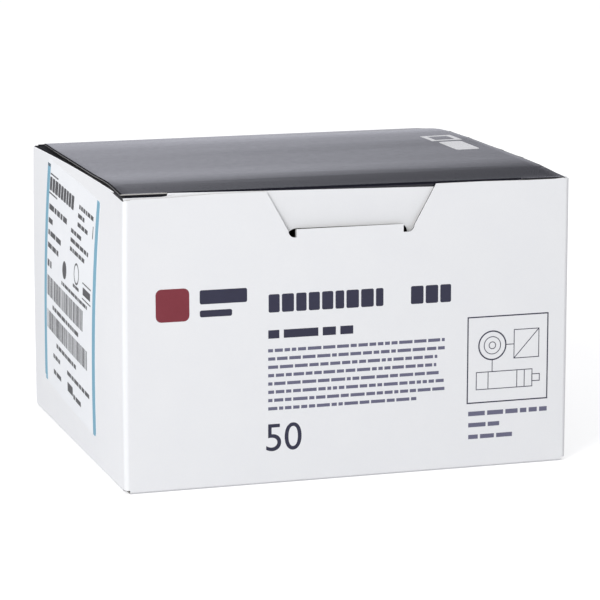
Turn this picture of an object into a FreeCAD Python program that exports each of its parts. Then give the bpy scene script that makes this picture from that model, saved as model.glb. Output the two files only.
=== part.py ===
import FreeCAD, Part
import math
import os
import Sketcher

# Folding carton with a tuck lid. The front faces -Y, Z is up, and the origin is the middle of the
# base on the ground. The carton is one glued blank of board. Its lid is a node of its own, hinged at
# the crease along the top of the back wall, and a paper label is stuck to the left wall.

# Driving sizes in millimetres, and one angle in degrees
SIZES = (
    ("carton_width", 200.0, "outside, left to right"),
    ("carton_depth", 180.0, "outside, front to back"),
    ("carton_height", 127.0, "outside, up to the creases of the closed lid"),
    ("board", 0.6, "thickness of the board"),
    ("play", 0.3, "room between sheets that slide past each other"),
    ("hinge_play", 0.15, "room between the lid's crease and the back wall"),
    ("corner_fold", 2.2, "outer radius of the four upright folds"),
    ("flap_fold", 1.0, "outer radius of the folds of dust flaps and bottom flaps"),
    ("lid_fold", 1.0, "outer radius of the lid's front fold"),
    ("lid_crown", 1.6, "rise of the lid's middle above its two creases"),
    ("wall_drop", 1.0, "front wall's cut edge below the top of the lid"),
    ("seam_width", 18.0, "glue flap inside the right wall"),
    ("seam_setback", 4.0, "glue flap's ends short of the wall's ends"),
    ("seam_taper", 6.0, "slope of the glue flap's ends"),
    ("lid_inset_front", 1.0, "lid's side edge inside the wall, at the front"),
    ("lid_inset_back", 4.5, "lid's side edge inside the wall, at the hinge"),
    ("slit_length", 20.0, "cut of the slit lock, from the lid's side edge inwards"),
    ("tuck_depth", 30.0, "tuck flap, below the lid's crease"),
    ("tuck_side_play", 1.4, "tuck flap's side edge inside the side wall"),
    ("tuck_corner", 18.0, "radius of the tuck flap's lower corners"),
    ("lock_drop", 17.6, "lock slit and tip of the tongue, below the top of the lid"),
    ("lock_height", 0.5, "width of the lock slit"),
    ("lock_half", 23.1, "half length of the lock slit between its end holes"),
    ("lock_shift", 0.4, "tuck flap's slit to the left of the tongue"),
    ("relief_height", 7.6, "height of the half-moon hole at each end of the slit"),
    ("recess_top_half", 38.0, "half width of the finger recess at the wall's edge"),
    ("recess_foot_half", 28.2, "half width of the finger recess above its corners"),
    ("recess_drop", 21.1, "foot of the finger recess below the top of the lid"),
    ("recess_corner", 2.8, "radius of the recess's lower corners"),
    ("tongue_half", 24.0, "half width of the tongue that stands in the recess"),
    ("tongue_shift", 0.7, "tongue to the left of the recess's middle"),
    ("dust_length", 58.0, "dust flap, from the side wall inwards"),
    ("dust_setback", 2.4, "dust flap's root short of the front and back walls"),
    ("dust_shoulder", 20.0, "part of the dust flap's front edge that the slit lock holds"),
    ("dust_notch", 7.0, "step back of the dust flap's front edge"),
    ("dust_taper", 10.0, "slope of the dust flap's back edge"),
    ("dust_corner", 8.0, "radius of the dust flap's free corners"),
    ("base_side_length", 60.0, "side flap of the bottom, from the wall inwards"),
    ("base_side_setback", 4.0, "its root short of the front and back walls"),
    ("base_side_end", 56.0, "width of its free end"),
    ("base_seam", 1.0, "gap between the two main flaps of the bottom"),
    ("hook_start", 4.0, "hook of a main flap, from the middle of the seam"),
    ("hook_width", 32.0, "width of that hook"),
    ("hook_reach", 12.0, "how far it reaches over the other main flap"),
    ("hook_root", 3.0, "how far it is backed by its own flap"),
    ("hook_corner", 5.0, "radius of its corners"),
    ("label_width", 105.0, "side label, along the wall"),
    ("label_height", 105.0, "side label, up the wall"),
    ("label_paper", 0.1, "thickness of the label"),
    ("label_corner", 2.0, "radius of the label's corners"),
    ("label_back_margin", 28.5, "label's back edge from the carton's back"),
    ("label_top_margin", 5.9, "label's top edge below the top of the lid"),
    ("label_tilt", 3.2, "turn of the label on the wall, back side up, in degrees"),
)

# Places that several pieces share, as expressions of the driving sizes
HALF_WIDTH = "(Sizes.carton_width / 2)"
HALF_DEPTH = "(Sizes.carton_depth / 2)"
MIDDLE = "0"
GROUND = "0"
TOP = "Sizes.carton_height"
BOARD = "Sizes.board"
LID_UNDER = f"({TOP} - {BOARD})"
DUST_TOP = f"({LID_UNDER} - Sizes.play)"
RING_TOP = f"({DUST_TOP} - Sizes.flap_fold)"
RING_FOOT = f"({BOARD} + Sizes.flap_fold)"
WALL_TOP = f"({TOP} - Sizes.wall_drop)"
LOCK_TOP = f"({TOP} - Sizes.lock_drop)"

# The lid turns about the middle of its own board, above the middle of the back wall's board
HINGE_Y = f"({HALF_DEPTH} - {BOARD} / 2)"
HINGE_Z = f"({TOP} - {BOARD} / 2)"
SWING_OUT = f"(Sizes.carton_depth - 1.5 * {BOARD} - Sizes.play)"
SWING_IN = f"({SWING_OUT} - {BOARD})"
FOLD_DROP = f"(Sizes.lid_fold - {BOARD} / 2)"
SHOULDER_DROP = f"({BOARD} / 2 + Sizes.play)"


def swing_y(radius, drop):
    """Y of a point of the tuck flap, which is bowed about the hinge so that it clears the wall."""
    return f"({HINGE_Y} - sqrt({radius} ^ 2 - {drop} ^ 2))"


LID_FRONT = f"({swing_y(SWING_OUT, FOLD_DROP)} + Sizes.lid_fold)"
CREASE_HALF = f"({HALF_WIDTH} - Sizes.lid_inset_front - Sizes.slit_length)"
TUCK_HALF = f"({HALF_WIDTH} - {BOARD} - Sizes.tuck_side_play)"
TUCK_FOOT = f"({HINGE_Z} - Sizes.tuck_depth)"

# Sketches that cut start this far outside the sheet that they cut
CLEAR = 1.0

# A fold's section shares this much of its wall with the tube
LAP = 5.0


def make_sheet(doc):
    """The spreadsheet that holds the driving sizes."""
    sheet = doc.addObject("Spreadsheet::Sheet", "Sizes")
    for row, (alias, value, meaning) in enumerate(SIZES, start=1):
        sheet.set(f"A{row}", alias)
        sheet.set(f"B{row}", str(value))
        sheet.set(f"C{row}", meaning)
        sheet.setAlias(f"B{row}", alias)
    doc.recompute()
    return sheet


def add_body(doc, label):
    """A body whose label names its file."""
    body = doc.addObject("PartDesign::Body", label)
    body.Label = label
    return body


def add_sketch(body, name, role, offset, loops):
    """A sketch on one of the body's origin planes, moved along the plane's normal by offset."""
    sketch = body.newObject("Sketcher::SketchObject", name)
    plane = next(item for item in body.Origin.OriginFeatures if item.Role == role)
    sketch.AttachmentSupport = (plane, [""])
    sketch.MapMode = "FlatFace"
    sketch.setExpression("AttachmentOffset.Base.z", offset)
    for loop in loops:
        add_loop(sketch, loop)
    return sketch


def bind(sketch, kind, geometry, point, expression):
    """Hold one coordinate of a sketch point at an expression."""
    value = float(sketch.evalExpression(expression))
    index = sketch.addConstraint(Sketcher.Constraint(kind, -1, 1, geometry, point, value))
    sketch.setExpression(f"Constraints[{index}]", expression)


def add_loop(sketch, corners):
    """A closed loop. A corner (x, y) starts a straight run to the next corner, and a corner
    (x, y, cx, cy, turn) starts an arc about (cx, cy): turn is 1 for counterclockwise, else -1."""
    points = [
        FreeCAD.Vector(sketch.evalExpression(corner[0]), sketch.evalExpression(corner[1]), 0)
        for corner in corners
    ]
    ends = []
    for index, corner in enumerate(corners):
        start = points[index]
        finish = points[(index + 1) % len(points)]
        if len(corner) == 2:
            geometry = sketch.addGeometry(Part.LineSegment(start, finish), False)
            ends.append((geometry, 1, 2))
        else:
            ends.append(add_arc(sketch, start, finish, corner))
    for index, (geometry, first, last) in enumerate(ends):
        following = ends[(index + 1) % len(ends)]
        sketch.addConstraint(Sketcher.Constraint("Coincident", geometry, last, following[0], following[1]))
        bind(sketch, "DistanceX", geometry, first, corners[index][0])
        bind(sketch, "DistanceY", geometry, first, corners[index][1])


def add_arc(sketch, start, finish, corner):
    """One arc of a loop. Its centre is held across the chord, where it sets the radius."""
    centre = FreeCAD.Vector(sketch.evalExpression(corner[2]), sketch.evalExpression(corner[3]), 0)
    turn = corner[4]
    low, high = (start, finish) if turn > 0 else (finish, start)
    circle = Part.Circle(centre, FreeCAD.Vector(0, 0, 1), centre.distanceToPoint(low))
    first_angle = math.atan2(low.y - centre.y, low.x - centre.x)
    last_angle = math.atan2(high.y - centre.y, high.x - centre.x)
    if last_angle < first_angle:
        last_angle += 2 * math.pi
    geometry = sketch.addGeometry(Part.ArcOfCircle(circle, first_angle, last_angle), False)
    chord = finish - start
    if abs(chord.y) >= abs(chord.x):
        bind(sketch, "DistanceX", geometry, 3, corner[2])
    else:
        bind(sketch, "DistanceY", geometry, 3, corner[3])
    return (geometry, 1, 2) if turn > 0 else (geometry, 2, 1)


def add_pad(body, name, sketch, length, symmetric=False):
    """Material from the sketch along its normal, or to both sides of it."""
    pad = body.newObject("PartDesign::Pad", name)
    pad.Profile = sketch
    pad.setExpression("Length", length)
    if symmetric:
        pad.SideType = "Symmetric"
    return pad


def add_pocket(body, name, sketch, depth):
    """A cut from the sketch against its normal."""
    pocket = body.newObject("PartDesign::Pocket", name)
    pocket.Profile = sketch
    pocket.setExpression("Length", depth)
    return pocket


def mirrored(side, expression):
    """The expression on the left (side -1) or the right (side 1) of the middle."""
    return expression if side > 0 else f"(-{expression})"


def ring_outline():
    """Plan of the glued tube: the outside, and the inside with the glue flap on the right wall."""
    fold = "Sizes.corner_fold"
    inner = f"({fold} - {BOARD})"
    side = f"({HALF_WIDTH} - {fold})"
    end = f"({HALF_DEPTH} - {fold})"
    lining = f"({HALF_WIDTH} - {BOARD})"
    lining_inner = f"({lining} - {BOARD})"
    seam_turn = f"({lining} - {fold})"
    raw_edge = f"({end} - {BOARD})"
    outside = [
        (HALF_WIDTH, raw_edge),
        (HALF_WIDTH, f"-{end}", side, f"-{end}", -1),
        (side, f"-{HALF_DEPTH}"),
        (f"-{side}", f"-{HALF_DEPTH}", f"-{side}", f"-{end}", -1),
        (f"-{HALF_WIDTH}", f"-{end}"),
        (f"-{HALF_WIDTH}", end, f"-{side}", end, -1),
        (f"-{side}", HALF_DEPTH),
        (seam_turn, HALF_DEPTH, seam_turn, end, -1),
        (lining, end),
        (lining, raw_edge),
    ]
    inside = [
        (lining_inner, end),
        (lining_inner, f"({end} - Sizes.seam_width)"),
        (lining, f"({end} - Sizes.seam_width)"),
        (lining, f"-{end}", side, f"-{end}", -1),
        (side, f"-({end} + {inner})"),
        (f"-{side}", f"-({end} + {inner})", f"-{side}", f"-{end}", -1),
        (f"-{lining}", f"-{end}"),
        (f"-{lining}", end, f"-{side}", end, -1),
        (f"-{side}", f"({end} + {inner})"),
        (seam_turn, f"({end} + {inner})", seam_turn, end, -1),
    ]
    return [outside, inside]


def add_walls(body):
    """The tube between its top and bottom folds, and the glue flap's sloped ends."""
    sketch = add_sketch(body, "wall_plan", "XY_Plane", RING_FOOT, ring_outline())
    add_pad(body, "walls", sketch, f"{RING_TOP} - {RING_FOOT}")
    near = f"({HALF_DEPTH} - Sizes.corner_fold)"
    far = f"({near} - Sizes.seam_width - {CLEAR})"
    slope = "(Sizes.seam_setback + Sizes.seam_taper)"
    ends = (
        (f"({RING_TOP} + {CLEAR})", f"({RING_TOP} - Sizes.seam_setback)", f"({RING_TOP} - {slope})"),
        (f"({RING_FOOT} - {CLEAR})", f"({RING_FOOT} + Sizes.seam_setback)", f"({RING_FOOT} + {slope})"),
    )
    loops = [[(near, out), (near, root), (far, tip), (far, out)] for out, root, tip in ends]
    sketch = add_sketch(body, "seam_ends", "YZ_Plane", f"{HALF_WIDTH} - {BOARD}", loops)
    add_pocket(body, "seam_trim", sketch, f"1.5 * {BOARD}")


def folded_section(wall, inwards, root, turn_level, flat_level, tip, upwards):
    """Section of a flap and its fold. wall is the outer face of the wall, and inwards its way in.
    The wall's stretch starts at root, bends above or below turn_level and lies flat to tip."""
    fold = "Sizes.flap_fold"
    inner_face = f"({wall} + {inwards} * {BOARD})"
    centre = f"({wall} + {inwards} * {fold})"
    lift = 1 if upwards else -1
    inner_level = f"({flat_level} - {lift} * {BOARD})"
    turn = inwards * lift
    return [
        (wall, root),
        (wall, turn_level, centre, turn_level, -turn),
        (centre, flat_level),
        (tip, flat_level),
        (tip, inner_level),
        (centre, inner_level, centre, turn_level, turn),
        (inner_face, turn_level),
        (inner_face, root),
    ]


def add_dust_flaps(body):
    """Two flaps under the lid, with a shoulder for the slit lock and a notch beside it."""
    root_half = f"({HALF_DEPTH} - Sizes.dust_setback)"
    tip = f"({HALF_WIDTH} - Sizes.dust_length)"
    notch = f"(Sizes.dust_notch - {root_half})"
    shoulder = f"({HALF_WIDTH} - Sizes.dust_shoulder)"
    corner = "Sizes.dust_corner"
    for side, word in ((-1, "left"), (1, "right")):
        wall = mirrored(side, HALF_WIDTH)
        root = f"({RING_TOP} - {LAP})"
        loop = folded_section(wall, -side, root, RING_TOP, DUST_TOP, mirrored(side, tip), True)
        sketch = add_sketch(body, f"{word}_dust_section", "XZ_Plane", MIDDLE, [loop])
        add_pad(body, f"{word}_dust_flap", sketch, f"2 * {root_half}", symmetric=True)
        inner = mirrored(side, f"({tip} + {corner})")
        end = mirrored(side, tip)
        out = mirrored(side, f"({tip} - {CLEAR})")
        front_out = f"(-{root_half} - {CLEAR})"
        front = [
            (mirrored(side, shoulder), front_out),
            (mirrored(side, shoulder), f"({notch} - Sizes.dust_notch / 2)"),
            (mirrored(side, f"({shoulder} - Sizes.dust_notch / 2)"), notch),
            (inner, notch, inner, f"({notch} + {corner})", -side),
            (end, f"({notch} + {corner})"),
            (out, f"({notch} + {corner})"),
            (out, front_out),
        ]
        back_out = f"({root_half} + {CLEAR})"
        low = f"({root_half} - Sizes.dust_taper)"
        back = [
            (mirrored(side, f"({HALF_WIDTH} - 2 * Sizes.flap_fold)"), back_out),
            (mirrored(side, f"({HALF_WIDTH} - 2 * Sizes.flap_fold)"), root_half),
            (inner, low, inner, f"({low} - {corner})", side),
            (end, f"({low} - {corner})"),
            (out, f"({low} - {corner})"),
            (out, back_out),
        ]
        sketch = add_sketch(body, f"{word}_dust_outline", "XY_Plane", f"{DUST_TOP} + {CLEAR}", [front, back])
        add_pocket(body, f"{word}_dust_trim", sketch, f"{CLEAR} + 1.5 * {BOARD}")


def add_base(body):
    """Crash-lock bottom: two side flaps inside, glued to two main flaps that hook together."""
    root_half = f"({HALF_DEPTH} - Sizes.base_side_setback)"
    tip = f"({HALF_WIDTH} - Sizes.base_side_length)"
    wall_root = f"({RING_FOOT} + {LAP})"
    slope_start = f"({HALF_WIDTH} - 2 * Sizes.flap_fold)"
    for side, word in ((-1, "left"), (1, "right")):
        wall = mirrored(side, HALF_WIDTH)
        loop = folded_section(wall, -side, wall_root, RING_FOOT, BOARD, mirrored(side, tip), False)
        sketch = add_sketch(body, f"{word}_base_section", "XZ_Plane", MIDDLE, [loop])
        add_pad(body, f"{word}_base_flap", sketch, f"2 * {root_half}", symmetric=True)
        loops = []
        for end in (-1, 1):
            loops.append([
                (mirrored(side, slope_start), mirrored(end, root_half)),
                (mirrored(side, tip), mirrored(end, "(Sizes.base_side_end / 2)")),
                (mirrored(side, f"({tip} - {CLEAR})"), mirrored(end, "(Sizes.base_side_end / 2)")),
                (mirrored(side, f"({tip} - {CLEAR})"), mirrored(end, f"({root_half} + {CLEAR})")),
                (mirrored(side, slope_start), mirrored(end, f"({root_half} + {CLEAR})")),
            ])
        sketch = add_sketch(body, f"{word}_base_outline", "XY_Plane", f"{wall_root}", loops)
        add_pocket(body, f"{word}_base_trim", sketch, wall_root)
    seam = "(Sizes.base_seam / 2)"
    main_half = f"({HALF_WIDTH} - Sizes.corner_fold)"
    for side, word in ((-1, "front"), (1, "back")):
        wall = mirrored(side, HALF_DEPTH)
        turn_level = f"({RING_FOOT} - {BOARD})"
        loop = folded_section(wall, -side, wall_root, turn_level, GROUND, mirrored(side, seam), False)
        sketch = add_sketch(body, f"{word}_main_section", "YZ_Plane", MIDDLE, [loop])
        add_pad(body, f"{word}_main_flap", sketch, f"2 * {main_half}", symmetric=True)
        sketch = add_sketch(body, f"{word}_hook_plan", "XY_Plane", BOARD, [hook_outline(side)])
        add_pad(body, f"{word}_hook", sketch, BOARD)


def hook_outline(side):
    """Plan of a main flap's hook. The front flap (side -1) has it right of the middle."""
    near = mirrored(-side, "Sizes.hook_start")
    far = mirrored(-side, "(Sizes.hook_start + Sizes.hook_width)")
    near_turn = mirrored(-side, "(Sizes.hook_start + Sizes.hook_corner)")
    far_turn = mirrored(-side, "(Sizes.hook_start + Sizes.hook_width - Sizes.hook_corner)")
    root = mirrored(side, "Sizes.hook_root")
    reach = mirrored(-side, "Sizes.hook_reach")
    reach_turn = mirrored(-side, "(Sizes.hook_reach - Sizes.hook_corner)")
    return [
        (near, root),
        (far, root),
        (far, reach_turn, far_turn, reach_turn, 1),
        (far_turn, reach),
        (near_turn, reach, near_turn, reach_turn, 1),
        (near, reach_turn),
    ]


def add_top_edges(body):
    """Front wall's cut edge with its finger recess and tongue, and the back wall under the hinge."""
    foot = f"({RING_TOP} - {LAP})"
    chamfer = f"({HALF_WIDTH} - Sizes.corner_fold - ({WALL_TOP} - {RING_TOP}))"
    side = f"({HALF_WIDTH} - Sizes.corner_fold)"
    front = [
        (f"-{side}", foot), (side, foot), (side, RING_TOP),
        (chamfer, WALL_TOP), (f"-{chamfer}", WALL_TOP), (f"-{side}", RING_TOP),
    ]
    sketch = add_sketch(body, "front_edge_outline", "XZ_Plane", f"{HALF_DEPTH} - {BOARD}", [front])
    add_pad(body, "front_edge", sketch, BOARD)
    back_top = f"({LID_UNDER} - Sizes.hinge_play)"
    back_side = f"({side} - {BOARD})"
    back = [(f"-{back_side}", foot), (back_side, foot), (back_side, back_top), (f"-{back_side}", back_top)]
    sketch = add_sketch(body, "back_edge_outline", "XZ_Plane", f"-{HALF_DEPTH}", [back])
    add_pad(body, "back_edge", sketch, BOARD)
    sketch = add_sketch(body, "recess_outline", "XZ_Plane", f"{HALF_DEPTH} + {CLEAR}", [recess_outline()])
    add_pocket(body, "finger_recess", sketch, f"{CLEAR} + 2 * {BOARD}")


def recess_outline():
    """Finger recess: slanted sides, round lower corners, and a tongue up to the lock slit."""
    foot = f"({TOP} - Sizes.recess_drop)"
    turn = f"({foot} + Sizes.recess_corner)"
    foot_half = "Sizes.recess_foot_half"
    turn_half = "(Sizes.recess_foot_half - Sizes.recess_corner)"
    top_half = "Sizes.recess_top_half"
    tongue_left = "(-Sizes.tongue_half - Sizes.tongue_shift)"
    tongue_right = "(Sizes.tongue_half - Sizes.tongue_shift)"
    above = f"({WALL_TOP} + {CLEAR})"
    return [
        (f"-{top_half}", above), (top_half, above), (top_half, WALL_TOP),
        (foot_half, turn, turn_half, turn, -1),
        (turn_half, foot), (tongue_right, foot), (tongue_right, LOCK_TOP),
        (tongue_left, LOCK_TOP), (tongue_left, foot),
        (f"-{turn_half}", foot, f"-{turn_half}", turn, -1),
        (f"-{foot_half}", turn), (f"-{top_half}", WALL_TOP),
    ]


def arch_section():
    """Section of the lid's panel, which the goods in the carton press into a gentle arch."""
    middle = f"(({HINGE_Y} + {LID_FRONT}) / 2)"
    reach = f"({HINGE_Y} - {LID_FRONT})"
    radius = f"({reach} ^ 2 / (8 * Sizes.lid_crown) + Sizes.lid_crown / 2)"
    centre = f"({TOP} + Sizes.lid_crown - {radius})"
    return [
        (HINGE_Y, TOP, middle, centre, 1),
        (LID_FRONT, TOP),
        (LID_FRONT, LID_UNDER, middle, f"({centre} - {BOARD})", -1),
        (HINGE_Y, LID_UNDER),
    ]


def add_lid_panel(body):
    """The lid's arched panel. Its corners at the front are the raw edges of the slit-lock cuts."""
    back = f"({HALF_WIDTH} - Sizes.lid_inset_back)"
    front = f"({HALF_WIDTH} - Sizes.lid_inset_front)"
    raw_edge = swing_y(SWING_OUT, SHOULDER_DROP)
    sketch = add_sketch(body, "arch_section", "YZ_Plane", MIDDLE, [arch_section()])
    add_pad(body, "panel", sketch, f"2 * {front}", symmetric=True)
    shoulders = []
    slivers = []
    for side in (-1, 1):
        inner = mirrored(side, CREASE_HALF)
        outer = mirrored(side, front)
        out = mirrored(side, f"({front} + {CLEAR})")
        root = mirrored(side, back)
        shoulders.append([(inner, LID_FRONT), (inner, raw_edge), (outer, raw_edge), (outer, LID_FRONT)])
        slivers.append([
            (root, HINGE_Y), (outer, raw_edge), (out, raw_edge),
            (out, f"({HINGE_Y} + {CLEAR})"), (root, f"({HINGE_Y} + {CLEAR})"),
        ])
    sketch = add_sketch(body, "shoulder_plan", "XY_Plane", LID_UNDER, shoulders)
    add_pad(body, "shoulders", sketch, BOARD)
    sketch = add_sketch(body, "taper_plan", "XY_Plane", f"{TOP} + Sizes.lid_crown + {CLEAR}", slivers)
    add_pocket(body, "side_taper", sketch, f"Sizes.lid_crown + {BOARD} + 2 * {CLEAR}")
    crease = [
        (HINGE_Y, LID_UNDER, HINGE_Y, HINGE_Z, 1),
        (HINGE_Y, TOP),
    ]
    sketch = add_sketch(body, "crease_section", "YZ_Plane", MIDDLE, [crease])
    add_pad(body, "crease", sketch, f"2 * {back}", symmetric=True)


def swing_section(start_drop):
    """The tuck flap's section from start_drop below the hinge down to its free edge."""
    level = f"({HINGE_Z} - {start_drop})"
    return [
        (swing_y(SWING_OUT, start_drop), level, HINGE_Y, HINGE_Z, 1),
        (swing_y(SWING_OUT, "Sizes.tuck_depth"), TUCK_FOOT),
        (swing_y(SWING_IN, "Sizes.tuck_depth"), TUCK_FOOT, HINGE_Y, HINGE_Z, -1),
        (swing_y(SWING_IN, start_drop), level),
    ]


def add_tuck_flap(body):
    """The front fold between the slit-lock cuts, the bowed flap and its trimmed outline."""
    fold_level = f"({TOP} - Sizes.lid_fold)"
    flap = swing_section(FOLD_DROP)
    fold = [
        (LID_FRONT, TOP, LID_FRONT, fold_level, 1),
        *flap[:3],
        (swing_y(SWING_IN, FOLD_DROP), fold_level, LID_FRONT, fold_level, -1),
        (LID_FRONT, LID_UNDER),
    ]
    sketch = add_sketch(body, "fold_section", "YZ_Plane", MIDDLE, [fold])
    add_pad(body, "front_fold", sketch, f"2 * {CREASE_HALF}", symmetric=True)
    sketch = add_sketch(body, "tuck_section", "YZ_Plane", MIDDLE, [swing_section(SHOULDER_DROP)])
    add_pad(body, "tuck_flap", sketch, f"2 * {TUCK_HALF}", symmetric=True)
    corner = f"({TUCK_HALF} - Sizes.tuck_corner)"
    turn = f"({TUCK_FOOT} + Sizes.tuck_corner)"
    loops = [lock_outline()]
    for side in (-1, 1):
        out = mirrored(side, f"({TUCK_HALF} + {CLEAR})")
        loops.append([
            (mirrored(side, TUCK_HALF), turn, mirrored(side, corner), turn, -side),
            (mirrored(side, corner), TUCK_FOOT),
            (mirrored(side, corner), f"({TUCK_FOOT} - {CLEAR})"),
            (out, f"({TUCK_FOOT} - {CLEAR})"),
            (out, turn),
        ])
    sketch = add_sketch(body, "tuck_outline", "XZ_Plane", f"{HALF_DEPTH} + {CLEAR}", loops)
    inner = swing_y(SWING_IN, "Sizes.tuck_depth")
    add_pocket(body, "tuck_trim", sketch, f"{HALF_DEPTH} + {inner} + 2 * {CLEAR}")


def lock_outline():
    """The lock slit: a narrow cut that opens into a half-moon hole at each end."""
    middle = "(-Sizes.tongue_shift - Sizes.lock_shift)"
    left = f"({middle} - Sizes.lock_half)"
    right = f"({middle} + Sizes.lock_half)"
    foot = f"({LOCK_TOP} - Sizes.lock_height)"
    relief = f"({LOCK_TOP} - Sizes.relief_height)"
    level = f"({LOCK_TOP} - Sizes.relief_height / 2)"
    return [
        (right, LOCK_TOP, right, level, -1),
        (right, relief), (right, foot), (left, foot),
        (left, relief, left, level, -1),
        (left, LOCK_TOP),
    ]


def add_label(doc):
    """The side label, turned a little about its own middle and stuck to the left wall."""
    body = add_body(doc, "side_label")
    across = "(Sizes.label_width / 2)"
    up = "(Sizes.label_height / 2)"
    across_turn = "(Sizes.label_width / 2 - Sizes.label_corner)"
    up_turn = "(Sizes.label_height / 2 - Sizes.label_corner)"
    outline = [
        (across, up_turn, across_turn, up_turn, 1),
        (across_turn, up),
        (f"-{across_turn}", up, f"-{across_turn}", up_turn, 1),
        (f"-{across}", up_turn),
        (f"-{across}", f"-{up_turn}", f"-{across_turn}", f"-{up_turn}", 1),
        (f"-{across_turn}", f"-{up}"),
        (across_turn, f"-{up}", across_turn, f"-{up_turn}", 1),
        (across, f"-{up_turn}"),
    ]
    sketch = add_sketch(body, "label_outline", "YZ_Plane", MIDDLE, [outline])
    add_pad(body, "label_sheet", sketch, "Sizes.label_paper")
    body.Placement = FreeCAD.Placement(FreeCAD.Vector(), FreeCAD.Rotation(FreeCAD.Vector(1, 0, 0), 1))
    body.setExpression("Placement.Rotation.Angle", "Sizes.label_tilt * 1 deg")
    body.setExpression("Placement.Base.x", f"-{HALF_WIDTH} - Sizes.label_paper")
    body.setExpression("Placement.Base.y", f"{HALF_DEPTH} - Sizes.label_back_margin - {across}")
    body.setExpression("Placement.Base.z", f"{TOP} - Sizes.label_top_margin - {up}")
    return body


def add_carton(doc):
    """The glued blank without its lid."""
    body = add_body(doc, "carton_body")
    add_walls(body)
    add_dust_flaps(body)
    add_base(body)
    add_top_edges(body)
    return body


def add_lid(doc):
    """The lid with its tuck flap."""
    body = add_body(doc, "lid")
    add_lid_panel(body)
    add_tuck_flap(body)
    return body


def check(doc, bodies):
    """Stop if an object failed, a cut took nothing away, or a piece isn't one valid solid."""
    for item in doc.Objects:
        if "Invalid" in item.State or "Error" in item.State:
            raise RuntimeError(f"{item.Name} failed: {item.State}")
        if item.TypeId == "PartDesign::Pocket":
            if item.Shape.Volume >= item.BaseFeature.Shape.Volume - 1e-6:
                raise RuntimeError(f"{item.Name} cut nothing")
    for body in bodies:
        shape = body.Shape
        if shape.isNull() or not shape.isValid() or len(shape.Solids) != 1:
            raise RuntimeError(f"{body.Label} is not one valid solid")


def main():
    """Build the carton and write one file for each piece."""
    doc = FreeCAD.newDocument("FoldingCarton")
    make_sheet(doc)
    bodies = [add_carton(doc), add_lid(doc), add_label(doc)]
    doc.recompute()
    check(doc, bodies)
    os.makedirs("parts", exist_ok=True)
    for body in bodies:
        body.Shape.exportStep(f"parts/{body.Label}.step")
        box = body.Shape.BoundBox
        print(f"{body.Label}: {body.Shape.Volume:.0f} mm3, X {box.XMin:.2f} {box.XMax:.2f}, "
              f"Y {box.YMin:.2f} {box.YMax:.2f}, Z {box.ZMin:.2f} {box.ZMax:.2f}")


main()
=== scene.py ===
import logging
import math
import random
from dataclasses import dataclass, field
from enum import Enum

import bmesh
import bpy
from mathutils import Matrix, Vector
from mathutils.bvhtree import BVHTree


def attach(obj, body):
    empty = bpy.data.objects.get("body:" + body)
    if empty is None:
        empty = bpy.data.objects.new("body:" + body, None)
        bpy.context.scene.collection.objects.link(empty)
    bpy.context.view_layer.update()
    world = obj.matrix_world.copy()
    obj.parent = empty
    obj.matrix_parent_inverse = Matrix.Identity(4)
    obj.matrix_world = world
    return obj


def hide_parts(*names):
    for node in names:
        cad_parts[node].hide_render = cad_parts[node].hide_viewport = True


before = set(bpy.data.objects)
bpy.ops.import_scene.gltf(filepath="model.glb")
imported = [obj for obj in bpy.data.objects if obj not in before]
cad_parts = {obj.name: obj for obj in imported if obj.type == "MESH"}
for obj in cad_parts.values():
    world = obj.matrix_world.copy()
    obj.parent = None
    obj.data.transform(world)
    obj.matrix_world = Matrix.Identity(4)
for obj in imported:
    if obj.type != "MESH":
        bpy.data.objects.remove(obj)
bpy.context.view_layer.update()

log = logging.getLogger("folding_carton")

# One millimetre in the scene's metres
MM = 0.001

# Outside sizes of the carton in millimetres, up to the creases of the lid
HALF_WIDTH = 100.0
HALF_DEPTH = 90.0
WALL_TOP = 125.1

# Edges that turn by more degrees than this are sharp
SHARP_ANGLE = 32.0

# Corners closer than this are one, and a cut passes through corners this near to it, in metres
JOIN_DISTANCE = 1e-6
CUT_DISTANCE = 1e-7

# Left, right, low and high end of a flat shape, in millimetres
Box = tuple[float, float, float, float]


def clamped(share: float) -> float:
    """Keep a share between nothing and 1."""
    return min(max(share, 0.0), 1.0)


def linear(code: str) -> tuple[float, float, float, float]:
    """Turn an sRGB hex colour into the linear one that shaders use.

    Args:
        code: Six hex digits, such as "F2F3F4".

    Returns:
        Red, green, blue and an alpha of 1.
    """
    channels = [int(code[start:start + 2], 16) / 255 for start in (0, 2, 4)]
    red, green, blue = [
        value / 12.92 if value <= 0.04045 else ((value + 0.055) / 1.055) ** 2.4 for value in channels
    ]
    return (red, green, blue, 1.0)


def add_node(
    tree: bpy.types.NodeTree, kind: str, inputs: dict[str | int, object] | None = None, **settings: object
) -> bpy.types.Node:
    """Add a node with its settings, and set or link its inputs.

    Args:
        tree: The node tree that takes the node.
        kind: The node's class name.
        inputs: For each input, a value to set or an output socket to link.
        **settings: Attributes of the node itself.

    Returns:
        The new node.
    """
    node = tree.nodes.new(kind)
    for name, value in settings.items():
        setattr(node, name, value)
    for key, value in (inputs or {}).items():
        if isinstance(value, bpy.types.NodeSocket):
            tree.links.new(value, node.inputs[key])
        else:
            node.inputs[key].default_value = value
    return node


def add_noise(
    tree: bpy.types.NodeTree, place: bpy.types.NodeSocket, size_mm: float, roughness: float
) -> bpy.types.NodeSocket:
    """Add a noise texture whose spots have a given size.

    Args:
        tree: The node tree that takes the node.
        place: The coordinates that it is laid out in.
        size_mm: The size of its spots.
        roughness: How strong its finer detail is.

    Returns:
        The noise, about one half on average.
    """
    settings = {"Vector": place, "Scale": 1 / (size_mm * MM), "Detail": 3.0, "Roughness": roughness}
    return add_node(tree, "ShaderNodeTexNoise", settings).outputs["Fac"]


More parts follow.
